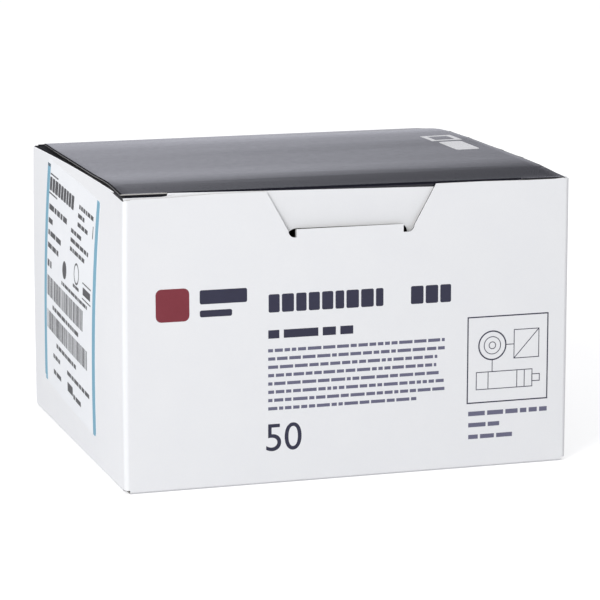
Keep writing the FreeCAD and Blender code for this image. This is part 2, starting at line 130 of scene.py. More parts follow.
def add_stretch(
    tree: bpy.types.NodeTree, noise: bpy.types.NodeSocket, low: float, high: float
) -> bpy.types.NodeSocket:
    """Stretch the middle of a noise over a range.

    Args:
        tree: The node tree that takes the node.
        noise: The noise, which is mostly between 0.3 and 0.7.
        low: What its low values become.
        high: What its high values become.

    Returns:
        The stretched noise.
    """
    settings = {"Value": noise, "From Min": 0.3, "From Max": 0.7, "To Min": low, "To Max": high}
    return add_node(tree, "ShaderNodeMapRange", settings).outputs["Result"]


def cleared(name: str) -> tuple[bpy.types.Material, bpy.types.NodeTree]:
    """Make a node material with nothing in it yet.

    Args:
        name: The material's name.

    Returns:
        The material and its empty node tree.
    """
    material = bpy.data.materials.new(name)
    material.use_nodes = True
    material.node_tree.nodes.clear()
    return material, material.node_tree


@dataclass(frozen=True)
class Finish:
    """A finish of board, paper or ink: two close colours in soft clouds and fibres, and a fine relief."""

    name: str
    colour: str
    shade: str
    roughness: float
    rough_spread: float = 0.05
    coat: float = 0.0
    coat_roughness: float = 0.2
    cloud_mm: float = 22.0
    fibre_mm: float = 0.9
    fibre_share: float = 0.4
    relief_mm: float = 0.004

    def material(self) -> bpy.types.Material:
        """Build the material once, and give the same one again after that.

        Returns:
            The material.
        """
        found = bpy.data.materials.get(self.name)
        if found:
            return found
        material, tree = cleared(self.name)
        place = add_node(tree, "ShaderNodeTexCoord").outputs["Object"]
        cloud = add_noise(tree, place, self.cloud_mm, 0.55)
        fibre = add_noise(tree, place, self.fibre_mm, 0.6)
        blend = add_node(tree, "ShaderNodeMix", {0: self.fibre_share, 2: cloud, 3: fibre}).outputs[0]
        spread = add_stretch(tree, blend, 0.0, 1.0)
        colour = add_node(
            tree, "ShaderNodeMix", {0: spread, 6: linear(self.colour), 7: linear(self.shade)},
            data_type="RGBA",
        ).outputs[2]
        smoothest, roughest = self.roughness - self.rough_spread, self.roughness + self.rough_spread
        gloss = add_stretch(tree, fibre, smoothest, roughest)
        relief = add_node(
            tree, "ShaderNodeBump", {"Height": fibre, "Distance": self.relief_mm * MM, "Strength": 1.0}
        ).outputs["Normal"]
        shader = add_node(
            tree, "ShaderNodeBsdfPrincipled",
            {
                "Base Color": colour, "Roughness": gloss, "IOR": 1.5, "Coat Weight": self.coat,
                "Coat Roughness": self.coat_roughness, "Normal": relief,
            },
        )
        add_node(tree, "ShaderNodeOutputMaterial", {"Surface": shader.outputs["BSDF"]})
        return material


# Clay-coated white side under a satin dispersion varnish: bright, with a broad soft sheen
WHITE_BOARD = Finish(
    "clay_coated_board_satin_varnish", "ECEDEF", "E9EAED", 0.42, coat=0.25, coat_roughness=0.3,
    relief_mm=0.002,
)
# Offset-printed solid navy under gloss varnish: nearly black, with a clear sheen at low angles
NAVY_PRINT = Finish(
    "offset_navy_gloss_varnish", "14141F", "171722", 0.2, 0.02, coat=0.4, coat_roughness=0.12,
    fibre_mm=2.5, relief_mm=0.0015,
)
# Painted shade: the same ink made blacker and dull, on the dust flaps' folds, the back wall's upper edge
# and the lid's pressed rim
SHADED_NAVY_PRINT = Finish("offset_navy_painted_shade", "0E0E14", "15151C", 0.6, fibre_mm=2.5)
# Uncoated grey-cream back of the board: dull, with visible recycled fibres
BOARD_BACK = Finish("uncoated_board_back", "D9D5CA", "CBC6B8", 0.85, fibre_share=0.75, relief_mm=0.02)
# Die-cut edge of the board: the plies' grey core, rough and dull
BOARD_EDGE = Finish("die_cut_board_edge", "B5B3B0", "A3A19E", 0.9, fibre_share=0.8, relief_mm=0.03)
# The same edge where the navy is printed, made a darker grey than the bare edge
DARKENED_EDGE = Finish("die_cut_edge_under_navy", "7C7A7A", "5C5B5E", 0.8, fibre_share=0.8, relief_mm=0.03)
# Painted shadow: the finger recess's cut edge made nearly black, so that it draws the thin grey line of the
# shadow gap round the tuck flap
RECESS_SHADOW_EDGE = Finish("die_cut_edge_painted_shadow", "343436", "28282A", 0.9, fibre_share=0.8, relief_mm=0.03)
# Matt coated label paper
LABEL_PAPER = Finish("matt_coated_label_paper", "EEF0F3", "E9EBEF", 0.55, cloud_mm=14.0)
# Offset inks lying on the board: they keep its relief and take a little of its gloss
NAVY_INK = Finish("offset_ink_navy", "24243C", "2A2A44", 0.4, coat=0.25)
MAROON_INK = Finish("offset_ink_maroon", "7A2230", "832A38", 0.4, coat=0.25)
TINT_INK = Finish("offset_ink_navy_screened", "62627A", "6A6A82", 0.42, coat=0.25)
WHITE_INK = Finish("unprinted_white_in_navy", "F2F2F4", "ECECEF", 0.3, coat=0.3, coat_roughness=0.16)
# Flexographic label inks: flatter and more even than offset
BLUE_INK = Finish("flexo_ink_blue", "79AEC5", "70A4BC", 0.5)
THERMAL_BLACK = Finish("thermal_transfer_black", "26262C", "303036", 0.35)
# Where a stripe runs off the label's cut end, its ink is rubbed dark
STRIPE_END = Finish("flexo_ink_blue_rubbed", "4C5F6C", "566A78", 0.6)


class Side(Enum):
    """What a face of the folded board shows, with its place in the list of materials."""

    WHITE = 0
    NAVY = 1
    BACK = 2
    CUT = 3
    INKED_CUT = 4
    FOLD = 5
    SOILED_CUT = 6


SIDE_FINISHES = {
    Side.WHITE: WHITE_BOARD,
    Side.NAVY: NAVY_PRINT,
    Side.BACK: BOARD_BACK,
    Side.CUT: BOARD_EDGE,
    Side.INKED_CUT: DARKENED_EDGE,
    Side.FOLD: SHADED_NAVY_PRINT,
    Side.SOILED_CUT: RECESS_SHADOW_EDGE,
}

# What a side turns into where the navy is printed on it
DARK_SIDES = {Side.WHITE: Side.NAVY, Side.CUT: Side.INKED_CUT}


@dataclass(frozen=True)
class WallBow:
    """How a full carton's walls give way, in millimetres.

    They bow outwards, the side walls' upper folds are drawn inwards between the corners, the left
    wall leans in a little towards its top, the front wall's upper corners are pressed down, and the
    cut at its right corner is a little shallower.
    """

    # How far the side walls bow out, and the front and back walls
    side: float = 1.5
    front: float = 0.8
    # What lies further out than these belongs to the side walls, or to the front and back walls
    side_reach: float = 98.0
    front_reach: float = 89.2
    # How far the upper folds are drawn in, how far out that starts, and the left wall's lean
    drawn_in: float = 1.7
    drawn_from: float = 78.0
    lean: float = 0.8
    # The front wall's upper edge: what lies further forward and higher than these
    edge_depth: float = 88.6
    edge_low: float = 125.0
    # How far its two ends are pressed down, how far out that starts, and over what way it grows
    pressed_left: float = 0.8
    pressed_right: float = 0.35
    pressed_from: float = 60.0
    pressed_run: float = 20.0
    # The cut at the right corner, which is drawn towards its upper end
    corner_from: float = 96.0
    corner_lift: float = 0.6
    corner_top: float = 126.0

    def moved(self, point: Vector) -> Vector:
        """Give a point of the carton its place on the bowed wall.

        Args:
            point: A point in metres.

        Returns:
            The moved point, or the same one where it is on no wall.
        """
        x, y, z = (value / MM for value in point)
        rise = clamped(z / WALL_TOP)
        belly = 4 * rise * (1 - rise)
        shift_x = shift_y = shift_z = 0.0
        if abs(x) > self.side_reach and abs(y) < HALF_DEPTH:
            shift_x = math.copysign(self.side * belly * (1 - (y / HALF_DEPTH) ** 2), x)
        if abs(y) > self.front_reach and abs(x) < HALF_WIDTH:
            shift_y = math.copysign(self.front * belly * (1 - (x / HALF_WIDTH) ** 2), y)
        share = clamped((abs(x) - self.drawn_from) / (HALF_WIDTH - self.drawn_from))
        depth_share = max(1 - (y / HALF_DEPTH) ** 2, 0.0)
        shift_x -= math.copysign(self.drawn_in * rise ** 3 * share * depth_share, x)
        shift_x += self.lean * rise ** 3 * clamped(-x / HALF_WIDTH)
        if y < -self.edge_depth and z > self.edge_low:
            depth = self.pressed_left if x < 0 else self.pressed_right
            shift_z = -depth * clamped((abs(x) - self.pressed_from) / self.pressed_run)
            if x > self.corner_from:
                shift_z = self.corner_lift * (self.corner_top - z)
        return Vector((x + shift_x, y + shift_y, z + shift_z)) * MM


def node_mesh(node: str) -> bmesh.types.BMesh:
    """Copy the mesh of a solid, with its doubled corners joined.

    Args:
        node: The solid's name.

    Returns:
        The copy.
    """
    mesh = bmesh.new()
    mesh.from_mesh(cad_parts[node].data)
    bmesh.ops.remove_doubles(mesh, verts=mesh.verts, dist=JOIN_DISTANCE)
    return mesh


def cut_slanted(mesh: bmesh.types.BMesh, place: Vector, normal: Vector) -> None:
    """Cut every face of a mesh by a plane.

    Args:
        mesh: The mesh to cut.
        place: A point on the plane, in metres.
        normal: The plane's normal.
    """
    parts = mesh.verts[:] + mesh.edges[:] + mesh.faces[:]
    bmesh.ops.bisect_plane(mesh, geom=parts, dist=CUT_DISTANCE, plane_co=place, plane_no=normal)


def cut_all(mesh: bmesh.types.BMesh, axis: int, place_mm: float) -> None:
    """Cut every face of a mesh by a plane square to an axis.

    Args:
        mesh: The mesh to cut.
        axis: 0, 1 or 2 for x, y or z.
        place_mm: Where on that axis the plane is.
    """
    place, normal = Vector((0, 0, 0)), Vector((0, 0, 0))
    place[axis], normal[axis] = place_mm * MM, 1.0
    cut_slanted(mesh, place, normal)


def cut_evenly(mesh: bmesh.types.BMesh, axis: int, low: float, high: float, pitch: float) -> None:
    """Cut a mesh by evenly spaced planes square to an axis, between two ends.

    Args:
        mesh: The mesh to cut.
        axis: 0, 1 or 2 for x, y or z.
        low: The lower end, in millimetres.
        high: The upper end, in millimetres.
        pitch: About how far apart the planes are, in millimetres.
    """
    count = max(1, round((high - low) / pitch))
    for number in range(1, count):
        cut_all(mesh, axis, low + (high - low) * number / count)


def shown(mesh: bmesh.types.BMesh, name: str, finishes: list[Finish]) -> bpy.types.Object:
    """Turn a bmesh into an object in the scene.

    Args:
        mesh: The mesh, which is freed.
        name: The object's name.
        finishes: The finishes of its material slots, in order.

    Returns:
        The object, at the origin.
    """
    data = bpy.data.meshes.new(name)
    mesh.to_mesh(data)
    mesh.free()
    piece = bpy.data.objects.new(name, data)
    bpy.context.scene.collection.objects.link(piece)
    for finish in finishes:
        data.materials.append(finish.material())
    return piece


def shade(piece: bpy.types.Object) -> None:
    """Shade a piece smoothly between its sharp edges, with its large faces kept flat.

    Args:
        piece: The piece.
    """
    for polygon in piece.data.polygons:
        polygon.use_smooth = True
    piece.data.set_sharp_from_angle(angle=math.radians(SHARP_ANGLE))
    weighted = piece.modifiers.new("weighted_normals", "WEIGHTED_NORMAL")
    weighted.keep_sharp = True


@dataclass
class FoldedBoard:
    """A copy of a solid of board, with its printed side, its back and its cut edges told apart.

    A face belongs to the printed side where it looks away from the middle of the carton, to the back
    where it looks towards it, and to a cut edge where it does neither. The middle is a box, from
    core_low to core_high, and turned_away is the cosine that parts the three.
    """

    node: str
    body: str
    core_low: tuple[float, float, float]
    core_high: tuple[float, float, float]
    turned_away: float

    def away(self, place: Vector) -> Vector:
        """Find the direction from the carton's middle to a place near its shell.

        Args:
            place: The place, in millimetres.

        Returns:
            The direction, with a length of 1.
        """
        nearest = Vector([
            min(max(value, low), high) for value, low, high in zip(place, self.core_low, self.core_high)
        ])
        return (place - nearest).normalized()

    def board_side(self, face: bmesh.types.BMFace) -> Side:
        """Say what a face shows, before any navy is printed on it.

        Args:
            face: A face of the copy.

        Returns:
            The printed side, the back or a cut edge.
        """
        facing = face.normal.dot(self.away(face.calc_center_median() / MM))
        if facing > self.turned_away:
            return Side.WHITE
        return Side.BACK if facing < -self.turned_away else Side.CUT

    def is_navy(self, face: bmesh.types.BMFace) -> bool:
        """Whether the navy is printed where a face is, which each kind of board says for itself."""
        raise NotImplementedError

    def finished(self, mesh: bmesh.types.BMesh) -> bpy.types.Object:
        """Give each face its finish and put the copy in the place of its node.

        Args:
            mesh: The copy of the node's mesh.

        Returns:
            The dressed piece.
        """
        mesh.normal_update()
        for face in mesh.faces:
            side = self.board_side(face)
            if side in DARK_SIDES and self.is_navy(face):
                side = DARK_SIDES[side]
            face.material_index = side.value
        piece = shown(mesh, f"{self.node}_board", [SIDE_FINISHES[side] for side in Side])
        shade(piece)
        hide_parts(self.node)
        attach(piece, self.body)
        return piece


@dataclass
class Carton(FoldedBoard):
    """The folded blank: white walls, and dust flaps that are navy from just inside their folds."""

    node: str = "carton_body"
    body: str = "carton"
    core_low: tuple[float, float, float] = (-96.0, -86.0, 3.0)
    core_high: tuple[float, float, float] = (96.0, 86.0, 123.0)
    turned_away: float = 0.6
    # The walls are cut into squares of about this side, so that they can bow
    grid: float = 10.0
    # What lies further out than these belongs to the back wall, the left wall and the front wall
    back_wall: float = 89.0
    left_wall: float = 99.0
    front_wall: float = 88.6
    # The front and back walls' upper edges: what lies further out and higher than these
    edge_depth: float = 87.7
    edge_low: float = 123.0
    # Where the navy ends: the left and right flaps' sides, and its foot on the back wall
    left_bleed: float = 99.75
    right_bleed: float = 98.0
    back_bleed: float = 124.8
    # How far painted shadow, in the navy print, runs down the left wall under the lid at the front corner,
    # and where that starts
    shadow_drop: float = 0.9
    shadow_drop_start: float = 68.0
    # The navy is painted darker and dull, as shade, further out to the sides or further back than these; so
    # is every face of the back wall above its navy's foot
    shaded_side: float = 93.0
    shaded_back: float = 86.0
    # The front end of the right dust flap's fold, which stays unprinted; its cut edges and inner faces
    # there get the white board too, painted light so that the shaded notch there reads white
    corner_side: float = 96.0
    corner_depth: float = 83.0
    corner_low: float = 124.0
    # The part of the front wall that holds the finger recess's cut edge, which gets the painted shadow
    recess_half: float = 42.0
    recess_depth: float = 88.0
    recess_low: float = 100.0
    recess_high: float = 125.9
    bow: WallBow = field(default_factory=WallBow)

    def away(self, place: Vector) -> Vector:
        """Find the direction from the middle; the front and back walls' upper edges face level.

        Args:
            place: The place, in millimetres.

        Returns:
            The direction, with a length of 1.
        """
        if abs(place.y) > self.edge_depth and place.z > self.edge_low:
            return Vector((0.0, math.copysign(1.0, place.y), 0.0))
        return super().away(place)

    def board_side(self, face: bmesh.types.BMFace) -> Side:
        """Say what a face shows: painted shade darkens the navy on the folds, and painted shadow darkens
        the recess's cut edge.

        Args:
            face: A face of the carton.

        Returns:
            What it shows, before any navy is printed on a plain side.
        """
        place = face.calc_center_median() / MM
        # Painted light: every face at the right front corner gets the bright white board
        if self.at_front_right(face):
            return Side.WHITE
        # Painted shade: navy far out at the sides or at the back gets the darker, dull navy
        if self.is_navy(face) and (abs(place.x) > self.shaded_side or place.y > self.shaded_back):
            return Side.FOLD
        side = super().board_side(face)
        # Painted shadow: the recess's cut edge gets the nearly black edge finish
        in_front = abs(place.x) < self.recess_half and place.y < -self.recess_depth
        at_recess = in_front and self.recess_low < place.z < self.recess_high
        return Side.SOILED_CUT if at_recess and side is Side.CUT else side

    def at_front_right(self, face: bmesh.types.BMFace) -> bool:
        """Whether a face is at the front end of the right dust flap's fold."""
        place = face.calc_center_median() / MM
        return place.x > self.corner_side and place.y < -self.corner_depth and place.z > self.corner_low

    def is_navy(self, face: bmesh.types.BMFace) -> bool:
        """Whether a face is on the navy of the dust flaps or of the back wall's upper edge, or on the
        painted shadow in navy at the left wall's front corner.

        Args:
            face: A face of the carton.

        Returns:
            True where the navy is.
        """
        place = face.calc_center_median() / MM
        if self.at_front_right(face):
            return False
        if place.y > self.back_wall:
            return place.z > self.back_bleed
        on_top = place.z > WALL_TOP and place.y > -self.edge_depth
        if place.x > 0:
            return on_top and place.x < self.right_bleed
        # Painted shadow: the navy runs down the left wall's top towards the front corner
        shadow_drop = self.shadow_drop * clamped((-self.shadow_drop_start - place.y) / (HALF_DEPTH - self.shadow_drop_start))
        if shadow_drop and place.z > WALL_TOP - shadow_drop and place.x < -self.left_wall and place.y > -self.front_wall:
            return True
        return on_top and place.x > -self.left_bleed

    def build(self) -> bpy.types.Object:
        """Build the dressed carton.

        Returns:
            The piece that stands for the node.
        """
        mesh = node_mesh(self.node)
        cut_evenly(mesh, 0, -HALF_WIDTH, HALF_WIDTH, self.grid)
        cut_evenly(mesh, 1, -HALF_DEPTH, HALF_DEPTH, self.grid)
        cut_evenly(mesh, 2, 0.0, WALL_TOP, self.grid)
        cut_all(mesh, 2, self.back_bleed)
        for place in (-self.left_bleed, -self.shaded_side, self.shaded_side, self.right_bleed):
            cut_all(mesh, 0, place)
        # The slanted line where the painted shadow on the left wall ends
        cut_slanted(
            mesh, Vector((0, -self.shadow_drop_start, WALL_TOP)) * MM,
            Vector((0, self.shadow_drop, self.shadow_drop_start - HALF_DEPTH)).normalized(),
        )
        piece = self.finished(mesh)
        for vertex in piece.data.vertices:
            vertex.co = self.bow.moved(vertex.co)
        log.info("carton board: %d faces", len(piece.data.polygons))
        return piece


@dataclass(frozen=True)
class Profile:
    """A smooth curve through heights that are evenly spaced from the lid's crease to its front."""

    heights: tuple[float, ...]

    def at(self, along: float) -> float:
        """Give the height at a share of the way, from 0 to 1.

        Args:
            along: The share of the way from the first height to the last.

        Returns:
            The height there, in millimetres.
        """
        last = len(self.heights) - 1
        step = clamped(along) * last
        start = min(int(step), last - 1)
        part = step - start
        places = [min(max(start + shift, 0), last) for shift in (-1, 0, 1, 2)]
        before, low, high, after = (self.heights[place] for place in places)
        bend = (
            (high - before) * part
            + (2 * before - 5 * low + 4 * high - after) * part ** 2
            + (3 * low - before - 3 * high + after) * part ** 3
        )
        return low + bend / 2


@dataclass
class Lid(FoldedBoard):
    """The lid: navy on top, white from its front fold down, and swollen most at its back right."""

    node: str = "lid"
    body: str = "lid"
    core_low: tuple[float, float, float] = (-200.0, -84.0, 90.0)
    core_high: tuple[float, float, float] = (200.0, 87.0, 124.0)
    turned_away: float = 0.5
    # The top is cut into squares of about this side, so that it can swell
    grid: float = 6.0
    # The top panel's outside lies above the first height, and its lower front edges below the second
    panel_low: float = 126.0
    panel_middle: float = 126.3
    # The skew and the arch move only what lies above this
    crown_low: float = 125.8
    # Behind this, all of the printed side is navy, and in front of it the slanted border counts
    navy_depth: float = 85.0
    border_x: float = -79.0
    border_z: float = 126.74
    border_slope: float = -0.0158
    # The shoulders beside the tuck flap's fold, and how far forward their raw front edges lie
    shoulder: float = 79.0
    raw_depth: float = 88.7
    # How far up the painted shade, in navy, goes on the left and right raw edge, and how far down they
    # reach behind the wall
    shade_top_left: float = 126.53
    shade_top_right: float = 127.0
    tucked: float = 0.8
    # The crease, the way from it to the front, and half of the top's width at the front and the back
    crease_y: float = 89.7
    length: float = 178.8
    front_half: float = 99.0
    back_half: float = 95.5
    # The rim along the side edges: its width, how far it is pressed down, and where that starts
    border: float = 0.8
    border_drop: float = 0.22
    border_edge: float = 0.1
    # A face of the top looks up by more than this, and a raw front edge forwards by more than that
    upward: float = 0.6
    forward: float = 0.5
    # Where the crown's flat facets meet, and the radius of the arc that they stand for
    facet_rows: tuple[float, ...] = (-88.1, -65.1, -42.0, -19.0, 4.1, 27.1, 50.2, 69.9, 89.7)
    arc_radius: float = 2471.0
    # The swelling along both side edges, the left edge's inset, and the front edge's shift to the left
    left_edge: Profile = Profile((-0.45, -0.4, -0.7, -0.8, -0.5, 0.35, 0.4))
    right_edge: Profile = Profile((0.0, 2.1, 1.8, 1.0, 0.55, 0.25, -0.6))
    left_inset: Profile = Profile((2.0, 0.3, 0.0, 0.0, 0.0, 0.4, 0.0))
    skew: float = 1.25

    def away(self, place: Vector) -> Vector:
        """Find the direction from the middle; it is up at the shoulders, so their fronts are edges.

        Args:
            place: The place, in millimetres.

        Returns:
            The direction, with a length of 1.
        """
        if abs(place.x) > self.shoulder and place.z > self.panel_low:
            return Vector((0.0, 0.0, 1.0))
        return super().away(place)

    def at_raw_front(self, face: bmesh.types.BMFace) -> bool:
        """Whether a face is on the raw front edge of a shoulder.

        Args:
            face: A face of the lid.

        Returns:
            True on the edge.
        """
        place = face.calc_center_median() / MM
        at_shoulder = abs(place.x) > self.shoulder and place.y < -self.raw_depth
        return at_shoulder and place.z > self.panel_low and face.normal.y < -self.forward

    def above_edge_shade(self, face: bmesh.types.BMFace) -> bool:
        """Whether a face is on the light line above the painted navy shade on the shoulders' raw front
        edges.
        """
        place = face.calc_center_median() / MM
        return self.at_raw_front(face) and place.z > (self.shade_top_left if place.x < 0 else self.shade_top_right)

    def on_rim(self, face: bmesh.types.BMFace) -> bool:
        """Whether a face of the top is on the pressed rim along a side edge.

        Args:
            face: A face of the lid.

        Returns:
            True on the rim.
        """
        place = face.calc_center_median()
        lines = [self.edge_line(side, self.border) for side in (-1, 1)]
        outside = any((place - start).dot(normal) > 0 for start, normal in lines)
        return face.normal.z > self.upward and outside

    def board_side(self, face: bmesh.types.BMFace) -> Side:
        """Say what a face shows: the rim is painted dark as shade, and the raw front edges are painted navy
        as shade below a light line.

        Args:
            face: A face of the lid.

        Returns:
            What it shows, before any navy is printed on a plain side.
        """
        # Painted shade: the pressed rim gets the darker, dull navy
        if self.on_rim(face):
            return Side.FOLD
        # Painted shade: below the light line the raw front edge becomes navy, for the dark gap under the
        # shoulder
        if self.at_raw_front(face):
            return Side.CUT if self.above_edge_shade(face) else Side.WHITE
        return super().board_side(face)

    def is_navy(self, face: bmesh.types.BMFace) -> bool:
        """Whether a face is above the slanted border or on a shoulder, and not on the light line.

        Args:
            face: A face of the lid.

        Returns:
            True where the navy is.
        """
        if self.above_edge_shade(face):
            return False
        place = face.calc_center_median() / MM
        on_shoulder = abs(place.x) > self.shoulder and place.z > self.panel_low
        if place.y > -self.navy_depth or on_shoulder:
            return True
        return place.z > self.border_z + self.border_slope * (place.x - self.border_x)

    def arched(self, depth: float) -> float:
        """Find how far the crown's true arc lies above its flat facets.

        Args:
            depth: A place along y, in millimetres.

        Returns:
            The height, in millimetres, which is nothing where two facets meet.
        """
        for low, high in zip(self.facet_rows, self.facet_rows[1:]):
            if low < depth < high:
                return (depth - low) * (high - depth) / (2 * self.arc_radius)
        return 0.0

    def swollen(self, point: Vector) -> Vector:
        """Move a point as the lid bulges over the goods.

        Args:
            point: A point of the lid, in metres.

        Returns:
            The moved point, in metres.
        """
        x, y, z = (value / MM for value in point)
        along = (self.crease_y - y) / self.length
        right = 0.5 + x / (2 * self.front_half)
        rise = self.left_edge.at(along) * (1 - right) + self.right_edge.at(along) * right
        aside = self.left_inset.at(along) * max(1 - 4 * right, 0.0)
        if z > self.crown_low:
            aside -= self.skew * along ** 4
            rise += self.arched(y)
        if abs(x) > self.shoulder and y < -self.raw_depth and z < self.panel_middle:
            rise -= self.tucked
        return point + Vector((aside * MM, 0, rise * MM))

    def edge_line(self, side: int, inside: float) -> tuple[Vector, Vector]:
        """Find the upright plane along a side edge of the top, or at some way inside it.

        Args:
            side: -1 for the left edge and 1 for the right one.
            inside: How far inside the edge the plane is, in millimetres.

        Returns:
            A point on the plane, in metres, and its outward normal.
        """
        front = Vector((side * (self.front_half - inside), -HALF_DEPTH, 0)) * MM
        back = Vector((side * (self.back_half - inside), HALF_DEPTH, 0)) * MM
        run = (back - front).normalized()
        return front, Vector((run.y, -run.x, 0)) * side

    def round_border(self, mesh: bmesh.types.BMesh) -> None:
        """Press down the rim of the side edges, as the knife does; with the painted shade that the rim
        gets, a dark line runs along them.

        Args:
            mesh: The copy of the lid's mesh.
        """
        for side in (-1, 1):
            cut_slanted(mesh, *self.edge_line(side, self.border))
            place, normal = self.edge_line(side, self.border_edge)
            for vertex in mesh.verts:
                outside = (vertex.co - place).dot(normal) > 0 and vertex.co.z > self.panel_low * MM
                if outside and any(face.normal.z > self.upward for face in vertex.link_faces):
                    vertex.co.z -= self.border_drop * MM

    def build(self) -> bpy.types.Object:
        """Build the dressed lid.

        Returns:
            The piece that stands for the node.
        """
        mesh = node_mesh(self.node)
        cut_evenly(mesh, 0, -HALF_WIDTH, HALF_WIDTH, self.grid)
        cut_evenly(mesh, 1, -HALF_DEPTH, HALF_DEPTH, self.grid)
        cut_slanted(
            mesh, Vector((self.border_x, 0, self.border_z)) * MM,
            Vector((-self.border_slope, 0, 1)).normalized(),
        )
        cut_all(mesh, 2, self.shade_top_left)
        cut_all(mesh, 2, self.shade_top_right)
        mesh.normal_update()
        self.round_border(mesh)
        piece = self.finished(mesh)
        for vertex in piece.data.vertices:
            vertex.co = self.swollen(vertex.co)
        log.info("lid board: %d faces", len(piece.data.polygons))
        return piece


@dataclass
class Label:
    """The paper label, which follows the bowed wall that it is stuck on."""

    node: str = "side_label"
    grid: float = 10.0
    bow: WallBow = field(default_factory=WallBow)

    def build(self) -> bpy.types.Object:
        """Build the dressed label.

        Returns:
            The piece that stands for the node.
        """
        mesh = node_mesh(self.node)
        cut_evenly(mesh, 1, -HALF_DEPTH, HALF_DEPTH, self.grid)
        cut_evenly(mesh, 2, 0.0, WALL_TOP, self.grid)
        piece = shown(mesh, "label_paper", [LABEL_PAPER])
        for vertex in piece.data.vertices:
            vertex.co = self.bow.moved(vertex.co)
        shade(piece)
        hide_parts(self.node)
        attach(piece, "carton")
        log.info("label paper: %d faces", len(piece.data.polygons))
        return piece


